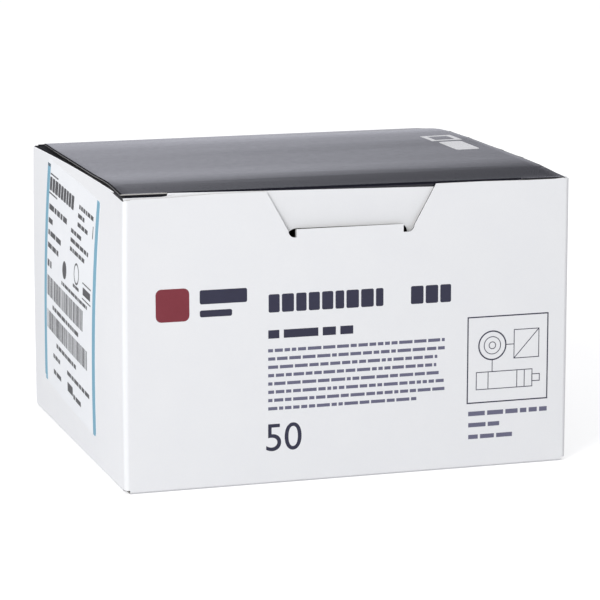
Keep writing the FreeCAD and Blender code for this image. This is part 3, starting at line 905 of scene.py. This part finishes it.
@dataclass
class Printing:
    """Flat ink shapes in one colour, drawn in millimetres on a plane and then laid on a surface.

    The plane is given by place, and the surface is that of the piece called target.
    """

    name: str
    finish: Finish
    place: Matrix
    target: bpy.types.Object
    body: str
    slot: str
    thickness: float = 0.03
    # How many thicknesses the ink reaches down from its face, which takes it into the surface
    sunk: float = 1.4
    # How far off the plane the surface may lie
    reach: float = 20.0
    grid: float = 5.0
    # Small words: their lengths, the shortest rest of a row and the gaps, as shares of their height
    word_lengths: tuple[float, float] = (1.2, 4.6)
    word_rest: float = 0.6
    word_gap: float = 0.55
    # Large words: their blocks' widths, the shortest rest of a row, the gaps and the corners' radius
    block_widths: tuple[float, float] = (3.2, 5.8)
    block_rest: float = 2.4
    block_gap: float = 1.0
    block_corner: float = 0.7
    # Upright bars: the widths and the gaps to choose from
    bar_widths: tuple[float, ...] = (0.45, 0.45, 0.9, 0.9, 1.5)
    bar_gaps: tuple[float, ...] = (0.4, 0.4, 0.8, 1.1)
    mesh: bmesh.types.BMesh = field(default_factory=bmesh.new)

    def bar(self, box: Box, round_by: float = 0.0) -> None:
        """Add a filled rectangle.

        Args:
            box: Its ends.
            round_by: The radius of its corners.
        """
        left, right, low, high = box
        made = bmesh.ops.create_grid(
            self.mesh, x_segments=1, y_segments=1, size=0.5,
            matrix=Matrix.Translation(((left + right) / 2, (low + high) / 2, 0))
            @ Matrix.Diagonal((right - left, high - low, 1, 1)),
        )
        if round_by:
            bmesh.ops.bevel(
                self.mesh, geom=made["verts"], offset=round_by, segments=4, profile=0.5, affect="VERTICES",
                offset_type="OFFSET", material=-1,
            )

    def disc(self, across: float, up: float, radius: float) -> None:
        """Add a filled circle."""
        middle = Matrix.Translation((across, up, 0))
        bmesh.ops.create_circle(self.mesh, cap_ends=True, segments=48, radius=radius, matrix=middle)

    def hollowed(self, before: set[bmesh.types.BMFace], line: float) -> None:
        """Keep only a border of the faces that are new.

        Args:
            before: The faces that are not new.
            line: The width of the border.
        """
        faces = [face for face in self.mesh.faces if face not in before]
        bmesh.ops.inset_region(
            self.mesh, faces=faces, thickness=line, use_boundary=True, use_even_offset=True
        )
        bmesh.ops.delete(self.mesh, geom=faces, context="FACES")

    def ring(self, across: float, up: float, radius: float, line: float) -> None:
        """Add a circle's line.

        Args:
            across: Its middle, across.
            up: Its middle, up.
            radius: Its radius, measured to the outside of the line.
            line: The line's width.
        """
        before = set(self.mesh.faces)
        self.disc(across, up, radius)
        self.hollowed(before, line)

    def outline(self, box: Box, line: float) -> None:
        """Add a rectangle's line.

        Args:
            box: Its ends, measured to the outside of the line.
            line: The line's width.
        """
        before = set(self.mesh.faces)
        self.bar(box)
        self.hollowed(before, line)

    def stroke(self, start: tuple[float, float], end: tuple[float, float], line: float) -> None:
        """Add a straight line between two points.

        Args:
            start: Its first point, across and up.
            end: Its last point.
            line: Its width.
        """
        first, last = Vector(start), Vector(end)
        span = last - first
        middle = (first + last) / 2
        turn = Matrix.Rotation(math.atan2(span.y, span.x), 4, "Z")
        bmesh.ops.create_grid(
            self.mesh, x_segments=1, y_segments=1, size=0.5,
            matrix=Matrix.Translation((middle.x, middle.y, 0)) @ turn
            @ Matrix.Diagonal((span.length, line, 1, 1)),
        )

    def number(self, text: str, left: float, low: float, high: float) -> None:
        """Add plain figures of a given height.

        Args:
            text: The figures.
            left: Where the first one starts.
            low: Their foot.
            high: Their head.
        """
        curve = bpy.data.curves.new("figures", "FONT")
        curve.body = text
        holder = bpy.data.objects.new("figures", curve)
        data = bpy.data.meshes.new_from_object(holder)
        corners = [vertex.co.copy() for vertex in data.vertices]
        foot = min(corner.y for corner in corners)
        scale = (high - low) / (max(corner.y for corner in corners) - foot)
        to_origin = Matrix.Translation((-min(corner.x for corner in corners), -foot, 0))
        data.transform(Matrix.Translation((left, low, 0)) @ Matrix.Scale(scale, 4) @ to_origin)
        self.mesh.from_mesh(data)
        bpy.data.meshes.remove(data)
        bpy.data.objects.remove(holder)
        bpy.data.curves.remove(curve)

    def words(self, box: Box, draw: random.Random) -> None:
        """Add a row of bars that stands for a line of small words.

        Args:
            box: The row's ends.
            draw: Where the lengths of the words come from.
        """
        left, right, low, high = box
        height = high - low
        at = left
        while at < right - self.word_rest * height:
            length = min(height * draw.uniform(*self.word_lengths), right - at)
            self.bar((at, at + length, low, high))
            at += length + self.word_gap * height

    def blocks(self, box: Box, draw: random.Random) -> None:
        """Add a row of rounded blocks that stands for large words.

        Args:
            box: The row's ends.
            draw: Where the widths come from.
        """
        left, right, low, high = box
        at = left
        while at < right - self.block_rest:
            width = min(draw.uniform(*self.block_widths), right - at)
            self.bar((at, at + width, low, high), self.block_corner)
            at += width + self.block_gap

    def upright_bars(self, box: Box, draw: random.Random) -> None:
        """Add a pattern of upright bars of drawn widths, which encodes nothing.

        Args:
            box: The pattern's ends.
            draw: Where the widths and the gaps come from.
        """
        left, right, low, high = box
        at = left
        while at < right:
            width = min(draw.choice(self.bar_widths), right - at)
            self.bar((at, at + width, low, high))
            at += width + draw.choice(self.bar_gaps)

    def finish_on(self) -> bpy.types.Object:
        """Lay the shapes on the surface under them and thicken them.

        Returns:
            The printed piece.
        """
        bmesh.ops.recalc_face_normals(self.mesh, faces=self.mesh.faces)
        for face in self.mesh.faces:
            if face.normal.z < 0:
                face.normal_flip()
        for axis in (Vector((1, 0, 0)), Vector((0, 1, 0))):
            values = [vertex.co.dot(axis) for vertex in self.mesh.verts]
            first, last = math.ceil(min(values) / self.grid), math.floor(max(values) / self.grid)
            for number in range(first, last + 1):
                cut_slanted(self.mesh, axis * (number * self.grid), axis)
        below = bmesh.new()
        below.from_mesh(self.target.data)
        tree = BVHTree.FromBMesh(below)
        below.free()
        outward = (self.place.to_3x3() @ Vector((0, 0, 1))).normalized()
        start, way = outward * (self.reach * MM), 2 * self.reach * MM
        for vertex in self.mesh.verts:
            flat = self.place @ (vertex.co * MM)
            hit = tree.ray_cast(flat + start, -outward, way)[0] or tree.find_nearest(flat)[0]
            vertex.co = hit + outward * self.thickness * MM
        self.mesh.normal_update()
        bmesh.ops.solidify(self.mesh, geom=self.mesh.faces[:], thickness=self.thickness * self.sunk * MM)
        bmesh.ops.recalc_face_normals(self.mesh, faces=self.mesh.faces)
        piece = shown(self.mesh, self.name, [self.finish])
        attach(piece, self.body)
        log.info("%s: %d faces", self.name, len(piece.data.polygons))
        return piece


@dataclass(frozen=True)
class Drawing:
    """A framed line drawing: a capped tube, a coil of three rings and a tag, joined by thin lines."""

    border: Box = (52.8, 90.75, 28.6, 67.1)
    border_line: float = 0.55
    tube: Box = (57.0, 83.5, 34.5, 42.5)
    collars: tuple[float, ...] = (62.5, 76.0, 79.5)
    collar_foot: float = 34.9
    collar_head: float = 42.1
    tip: Box = (83.1, 87.0, 36.8, 40.2)
    coil: tuple[float, float] = (64.5, 54.0)
    outer_ring: float = 6.6
    outer_line: float = 0.6
    inner_rings: tuple[float, ...] = (4.0, 1.7)
    tag: Box = (74.5, 86.5, 47.5, 60.5)
    # Start and end of each line that joins them
    joins: tuple[tuple[tuple[float, float], tuple[float, float]], ...] = (
        ((71.1, 54.0), (74.7, 54.0)), ((64.5, 42.3), (64.5, 47.5)), ((74.7, 47.7), (86.3, 60.3)),
    )
    thin: float = 0.35

    def draw_with(self, ink: Printing) -> None:
        """Draw it.

        Args:
            ink: The colour that takes it.
        """
        ink.outline(self.border, self.border_line)
        ink.outline(self.tube, self.thin)
        for across in self.collars:
            ink.bar((across, across + self.thin, self.collar_foot, self.collar_head))
        ink.outline(self.tip, self.thin)
        ink.ring(*self.coil, self.outer_ring, self.outer_line)
        for radius in self.inner_rings:
            ink.ring(*self.coil, radius, self.thin)
        ink.outline(self.tag, self.thin)
        for start, end in self.joins:
            ink.stroke(start, end, self.thin)


@dataclass
class FrontPrint:
    """The print on the front wall: a mark, bars for the words, a count and a framed drawing."""

    wall: bpy.types.Object
    tile: Box = (-86.0, -71.5, 72.8, 86.8)
    tile_corner: float = 2.4
    mark_bars: tuple[Box, ...] = ((-67.0, -46.4, 79.6, 85.6), (-67.0, -53.0, 74.1, 77.0))
    mark_corner: float = 0.8
    headings: tuple[Box, ...] = ((-37.0, 14.2, 74.4, 82.2), (26.7, 47.0, 74.4, 82.2))
    subheading: Box = (-37.2, 0.6, 63.2, 66.8)
    captions: tuple[Box, ...] = (
        (53.6, 90.6, 23.1, 25.1), (53.7, 68.2, 18.1, 20.0), (53.8, 74.6, 12.8, 14.7),
    )
    # The rows of small words: their ends, the height of the first, and each row's foot and head over it
    text_left: float = -37.3
    text_right: float = 43.5
    text_height: float = 57.0
    row_foot: float = 0.3
    row_head: float = 1.7
    row_pitch: float = 3.6
    rows: int = 8
    # How far the rows stay short of the right end at most, and the last row always
    ragged: float = 5.0
    last_short: float = 14.0
    count: str = "50"
    # The left end, the foot and the head of the count
    count_place: tuple[float, float, float] = (-38.2, 14.2, 26.2)
    drawing: Drawing = Drawing()
    seed: int = 4

    def layer(self, name: str, finish: Finish) -> Printing:
        """Start a colour of the front wall: across is x, up is z."""
        place = Matrix(((1, 0, 0, 0), (0, 0, -1, -HALF_DEPTH * MM), (0, 1, 0, 0), (0, 0, 0, 1)))
        return Printing(f"front_print_{name}", finish, place, self.wall, "carton", "carton_body")

    def build(self) -> None:
        """Build the three colours."""
        draw = random.Random(self.seed)
        maroon = self.layer("maroon", MAROON_INK)
        maroon.bar(self.tile, self.tile_corner)
        maroon.finish_on()

        tint = self.layer("tint", TINT_INK)
        for row in range(self.rows):
            height = self.text_height - row * self.row_pitch
            short = self.last_short if row == self.rows - 1 else draw.uniform(0, self.ragged)
            ends = (self.text_left, self.text_right - short)
            tint.words((*ends, height + self.row_foot, height + self.row_head), draw)
        for box in self.captions:
            tint.words(box, draw)
        tint.finish_on()

        navy = self.layer("navy", NAVY_INK)
        for box in self.mark_bars:
            navy.bar(box, self.mark_corner)
        for box in self.headings:
            navy.blocks(box, draw)
        navy.words(self.subheading, draw)
        navy.number(self.count, *self.count_place)
        self.drawing.draw_with(navy)
        navy.finish_on()


@dataclass
class LidPrint:
    """The white mark on the lid: a plain frame and a plain bar."""

    board: bpy.types.Object
    above: float = 128.0
    border: Box = (76.0, 91.0, 18.0, 34.6)
    border_line: float = 2.6
    block: Box = (77.5, 89.0, -11.0, 14.2)
    block_corner: float = 2.0

    def build(self) -> None:
        """Build the mark."""
        place = Matrix.Translation((0, 0, self.above * MM))
        white = Printing("lid_print_white", WHITE_INK, place, self.board, "lid", "lid")
        white.outline(self.border, self.border_line)
        white.bar(self.block, self.block_corner)
        white.finish_on()


@dataclass
class LabelPrint:
    """The print on the label, in the label's own millimetres: across towards the front, and up."""

    paper: bpy.types.Object
    # The label: its turn in degrees, its middle along y and z, its face along x and half of its side
    tilt: float = 3.2
    middle: tuple[float, float] = (9.0, 68.6)
    face: float = 100.1
    half: float = 52.3
    # The two stripes: their middles and widths, and how far the back one ends below the label's top
    stripe_middle: float = 49.4
    stripe: float = 5.4
    back_gap: float = 1.7
    # The rubbed end of the back stripe: its length, and how far it stands off the paper
    tip: float = 1.4
    tip_thickness: float = 0.05
    heading_rules: tuple[Box, ...] = ((-46.0, -30.0, 46.2, 46.9), (-48.0, -30.0, 37.2, 37.9))
    heading: Box = (-46.0, 4.0, 38.9, 45.2)
    # Rows of small words on the label: start, end, middle height and size of each
    rows: tuple[tuple[float, float, float, float], ...] = (
        (-45.3, -8.0, 31.4, 2.6), (-45.3, -35.5, 25.0, 2.4), (-45.1, -18.0, 19.4, 2.4),
        (-45.1, -21.0, 13.4, 2.4), (-45.1, -36.5, 5.0, 3.2), (14.0, 42.0, 42.8, 1.9),
        (13.0, 25.5, 38.8, 1.9), (13.2, 32.8, 34.8, 1.9), (1.4, 23.0, 29.8, 1.9),
        (1.5, 36.0, 25.6, 1.9), (1.0, 29.5, 21.4, 1.9), (9.4, 22.0, 6.4, 1.5),
        (28.6, 42.4, 8.0, 3.4), (-14.0, 37.0, 2.1, 1.6), (-33.0, 23.2, -14.0, 2.0),
        (-24.7, 16.0, -30.2, 2.0), (-32.1, -16.5, -36.6, 2.0), (-31.9, -13.6, -44.2, 2.2),
        (-2.5, 42.0, -37.1, 2.0), (-2.3, 8.2, -43.6, 4.2), (9.3, 25.0, -45.3, 2.2),
    )
    upright: Box = (42.0, 43.2, 34.2, 39.7)
    # Across, up and radius of the disc, and the same of the ring before its line's width
    dot: tuple[float, float, float] = (-8.6, 9.0, 4.1)
    circle: tuple[float, float, float, float] = (15.5, 12.6, 4.9, 0.9)
    rules: tuple[Box, ...] = ((27.6, 43.4, 11.2, 11.8), (27.6, 43.4, 4.2, 4.8))
    patterns: tuple[Box, ...] = ((-45.6, 30.0, -10.4, -0.9), (-45.2, 37.6, -26.1, -17.3))
    seed: int = 11

    def layer(self, name: str, finish: Finish, thickness: float = 0.03) -> Printing:
        """Start a colour of the label.

        Args:
            name: The colour's name.
            finish: Its finish.
            thickness: How far it stands off the paper, in millimetres.

        Returns:
            The colour, with nothing drawn in it yet.
        """
        turn = math.radians(self.tilt)
        place = Matrix((
            (0, 0, -1, -self.face * MM),
            (-math.cos(turn), -math.sin(turn), 0, self.middle[0] * MM),
            (-math.sin(turn), math.cos(turn), 0, self.middle[1] * MM),
            (0, 0, 0, 1),
        ))
        return Printing(
            f"label_print_{name}", finish, place, self.paper, "carton", "side_label", thickness=thickness
        )

    def build(self) -> None:
        """Build the stripes, the rubbed end of the back one, and then all that is black."""
        blue = self.layer("blue", BLUE_INK)
        back_top = self.half - self.back_gap
        for side, top in ((-1, back_top), (1, self.half)):
            middle = side * self.stripe_middle
            blue.bar((middle - self.stripe / 2, middle + self.stripe / 2, -self.half, top))
        blue.finish_on()
        tips = self.layer("tips", STRIPE_END, self.tip_thickness)
        middle = -self.stripe_middle
        tips.bar((middle - self.stripe / 2, middle + self.stripe / 2, back_top - self.tip, back_top))
        tips.finish_on()

        draw = random.Random(self.seed)
        black = self.layer("black", THERMAL_BLACK)
        for box in self.heading_rules:
            black.bar(box)
        black.blocks(self.heading, draw)
        for left, right, height, size in self.rows:
            black.words((left, right, height - size / 2, height + size / 2), draw)
        black.bar(self.upright)
        black.disc(*self.dot)
        black.ring(*self.circle)
        for box in self.rules:
            black.bar(box)
        for box in self.patterns:
            black.upright_bars(box, draw)
        black.finish_on()


@dataclass
class Studio:
    """The camera, the white surround, the pale floor and the soft box."""

    # The camera: what it looks at and how far it is in millimetres, its angles in degrees, its lens
    aim: tuple[float, float, float] = (4.93, -1.55, 61.63)
    azimuth: float = -17.48
    elevation: float = 10.574
    roll: float = -0.074
    distance: float = 1232.7
    lens: float = 161.41
    # The surround's plain light, and what a gloss mirrors of it below and above a soft edge
    soft_light: float = 0.7
    mirrored_low: float = 0.77
    mirrored_high: float = 0.074
    edge_from: float = 0.15
    edge_to: float = 0.23
    # The floor: half of its side and its place along z in metres, and its own light to the camera
    floor_half: float = 3.0
    floor_z: float = -0.0001
    floor_glow: float = 0.565
    # The soft box: its place, aim and side in metres, and its power in watts
    box_place: tuple[float, float, float] = (-1.95, -1.6, 1.6)
    box_aim: tuple[float, float, float] = (0.0, 0.0, 0.06)
    box_side: float = 1.2
    box_power: float = 54.0

    def camera(self) -> None:
        """Set up the camera at the photograph's viewing angle."""
        turn, rise = math.radians(self.azimuth), math.radians(self.elevation)
        back = Vector((
            math.sin(turn) * math.cos(rise), -math.cos(turn) * math.cos(rise), math.sin(rise)
        ))
        data = bpy.data.cameras.new("camera")
        data.sensor_width = 36.0
        data.lens = self.lens
        data.clip_start, data.clip_end = 0.05, 50.0
        camera = bpy.data.objects.new("camera", data)
        bpy.context.scene.collection.objects.link(camera)
        camera.location = (Vector(self.aim) + back * self.distance) * MM
        camera.rotation_mode = "QUATERNION"
        level = (-back).to_track_quat("-Z", "Y")
        tilted = Matrix.Rotation(math.radians(self.roll), 3, "Z").to_quaternion()
        camera.rotation_quaternion = level @ tilted
        bpy.context.scene.camera = camera

    def world(self) -> None:
        """Make the surround: white to the camera, and a plain soft light on the carton."""
        world = bpy.data.worlds.new("studio")
        bpy.context.scene.world = world
        world.use_nodes = True
        tree = world.node_tree
        tree.nodes.clear()
        path = add_node(tree, "ShaderNodeLightPath")
        glossy = path.outputs["Is Glossy Ray"]
        direction = add_node(tree, "ShaderNodeTexCoord").outputs["Generated"]
        up = add_node(tree, "ShaderNodeSeparateXYZ", {"Vector": direction}).outputs["Z"]
        mirrored = add_node(
            tree, "ShaderNodeMapRange",
            {
                "Value": up, "From Min": self.edge_from, "From Max": self.edge_to,
                "To Min": self.mirrored_low, "To Max": self.mirrored_high,
            },
            interpolation_type="SMOOTHSTEP",
        ).outputs["Result"]
        clear = add_node(
            tree, "ShaderNodeMath",
            {0: path.outputs["Is Camera Ray"], 1: path.outputs["Is Transmission Ray"]}, operation="MAXIMUM",
        ).outputs[0]
        soft = add_node(tree, "ShaderNodeMix", {0: glossy, 2: self.soft_light, 3: mirrored}).outputs[0]
        strength = add_node(tree, "ShaderNodeMix", {0: clear, 2: soft, 3: 1.0}).outputs[0]
        tone = add_node(
            tree, "ShaderNodeMix", {0: glossy, 6: (1, 1, 1, 1), 7: linear("F3F4FF")}, data_type="RGBA",
        ).outputs[2]
        surround = add_node(tree, "ShaderNodeBackground", {"Color": tone, "Strength": strength})
        add_node(tree, "ShaderNodeOutputWorld", {"Surface": surround.outputs["Background"]})

    def floor(self) -> None:
        """Lay the pale floor, white to the camera except under the carton's soft shadow."""
        mesh = bmesh.new()
        place = Matrix.Translation((0, 0, self.floor_z))
        bmesh.ops.create_grid(mesh, x_segments=1, y_segments=1, size=self.floor_half, matrix=place)
        data = bpy.data.meshes.new("floor")
        mesh.to_mesh(data)
        mesh.free()
        floor = bpy.data.objects.new("floor", data)
        bpy.context.scene.collection.objects.link(floor)
        material, tree = cleared("pale_studio_floor")
        path = add_node(tree, "ShaderNodeLightPath")
        matt = add_node(tree, "ShaderNodeBsdfDiffuse", {"Color": linear("CDCDCF")})
        dim = add_node(tree, "ShaderNodeBsdfDiffuse", {"Color": linear("CECED0")})
        glow = add_node(tree, "ShaderNodeEmission", {"Strength": self.floor_glow})
        seen = add_node(tree, "ShaderNodeAddShader", {0: dim.outputs[0], 1: glow.outputs[0]})
        mixed = add_node(
            tree, "ShaderNodeMixShader",
            {0: path.outputs["Is Camera Ray"], 1: matt.outputs[0], 2: seen.outputs[0]},
        )
        add_node(tree, "ShaderNodeOutputMaterial", {"Surface": mixed.outputs[0]})
        data.materials.append(material)

    def soft_box(self) -> None:
        """Hang a square soft box, up on the left, that looks at the carton."""
        data = bpy.data.lights.new("key_softbox", "AREA")
        data.energy = self.box_power
        data.size = self.box_side
        lamp = bpy.data.objects.new("key_softbox", data)
        bpy.context.scene.collection.objects.link(lamp)
        lamp.location = self.box_place
        lamp.rotation_mode = "QUATERNION"
        lamp.rotation_quaternion = (Vector(self.box_aim) - Vector(self.box_place)).to_track_quat("-Z", "Y")

    def build(self) -> None:
        """Build the whole studio."""
        self.camera()
        self.world()
        self.floor()
        self.soft_box()
        bpy.context.scene.view_settings.view_transform = "Standard"
        log.info("studio: camera, surround, floor and soft box")


def main() -> None:
    """Build the dressed carton and its studio."""
    logging.basicConfig(level=logging.INFO, format="%(name)s: %(message)s")
    carton = Carton().build()
    lid = Lid().build()
    paper = Label().build()
    FrontPrint(carton).build()
    LidPrint(lid).build()
    LabelPrint(paper).build()
    Studio().build()


if __name__ == "__main__":
    main()
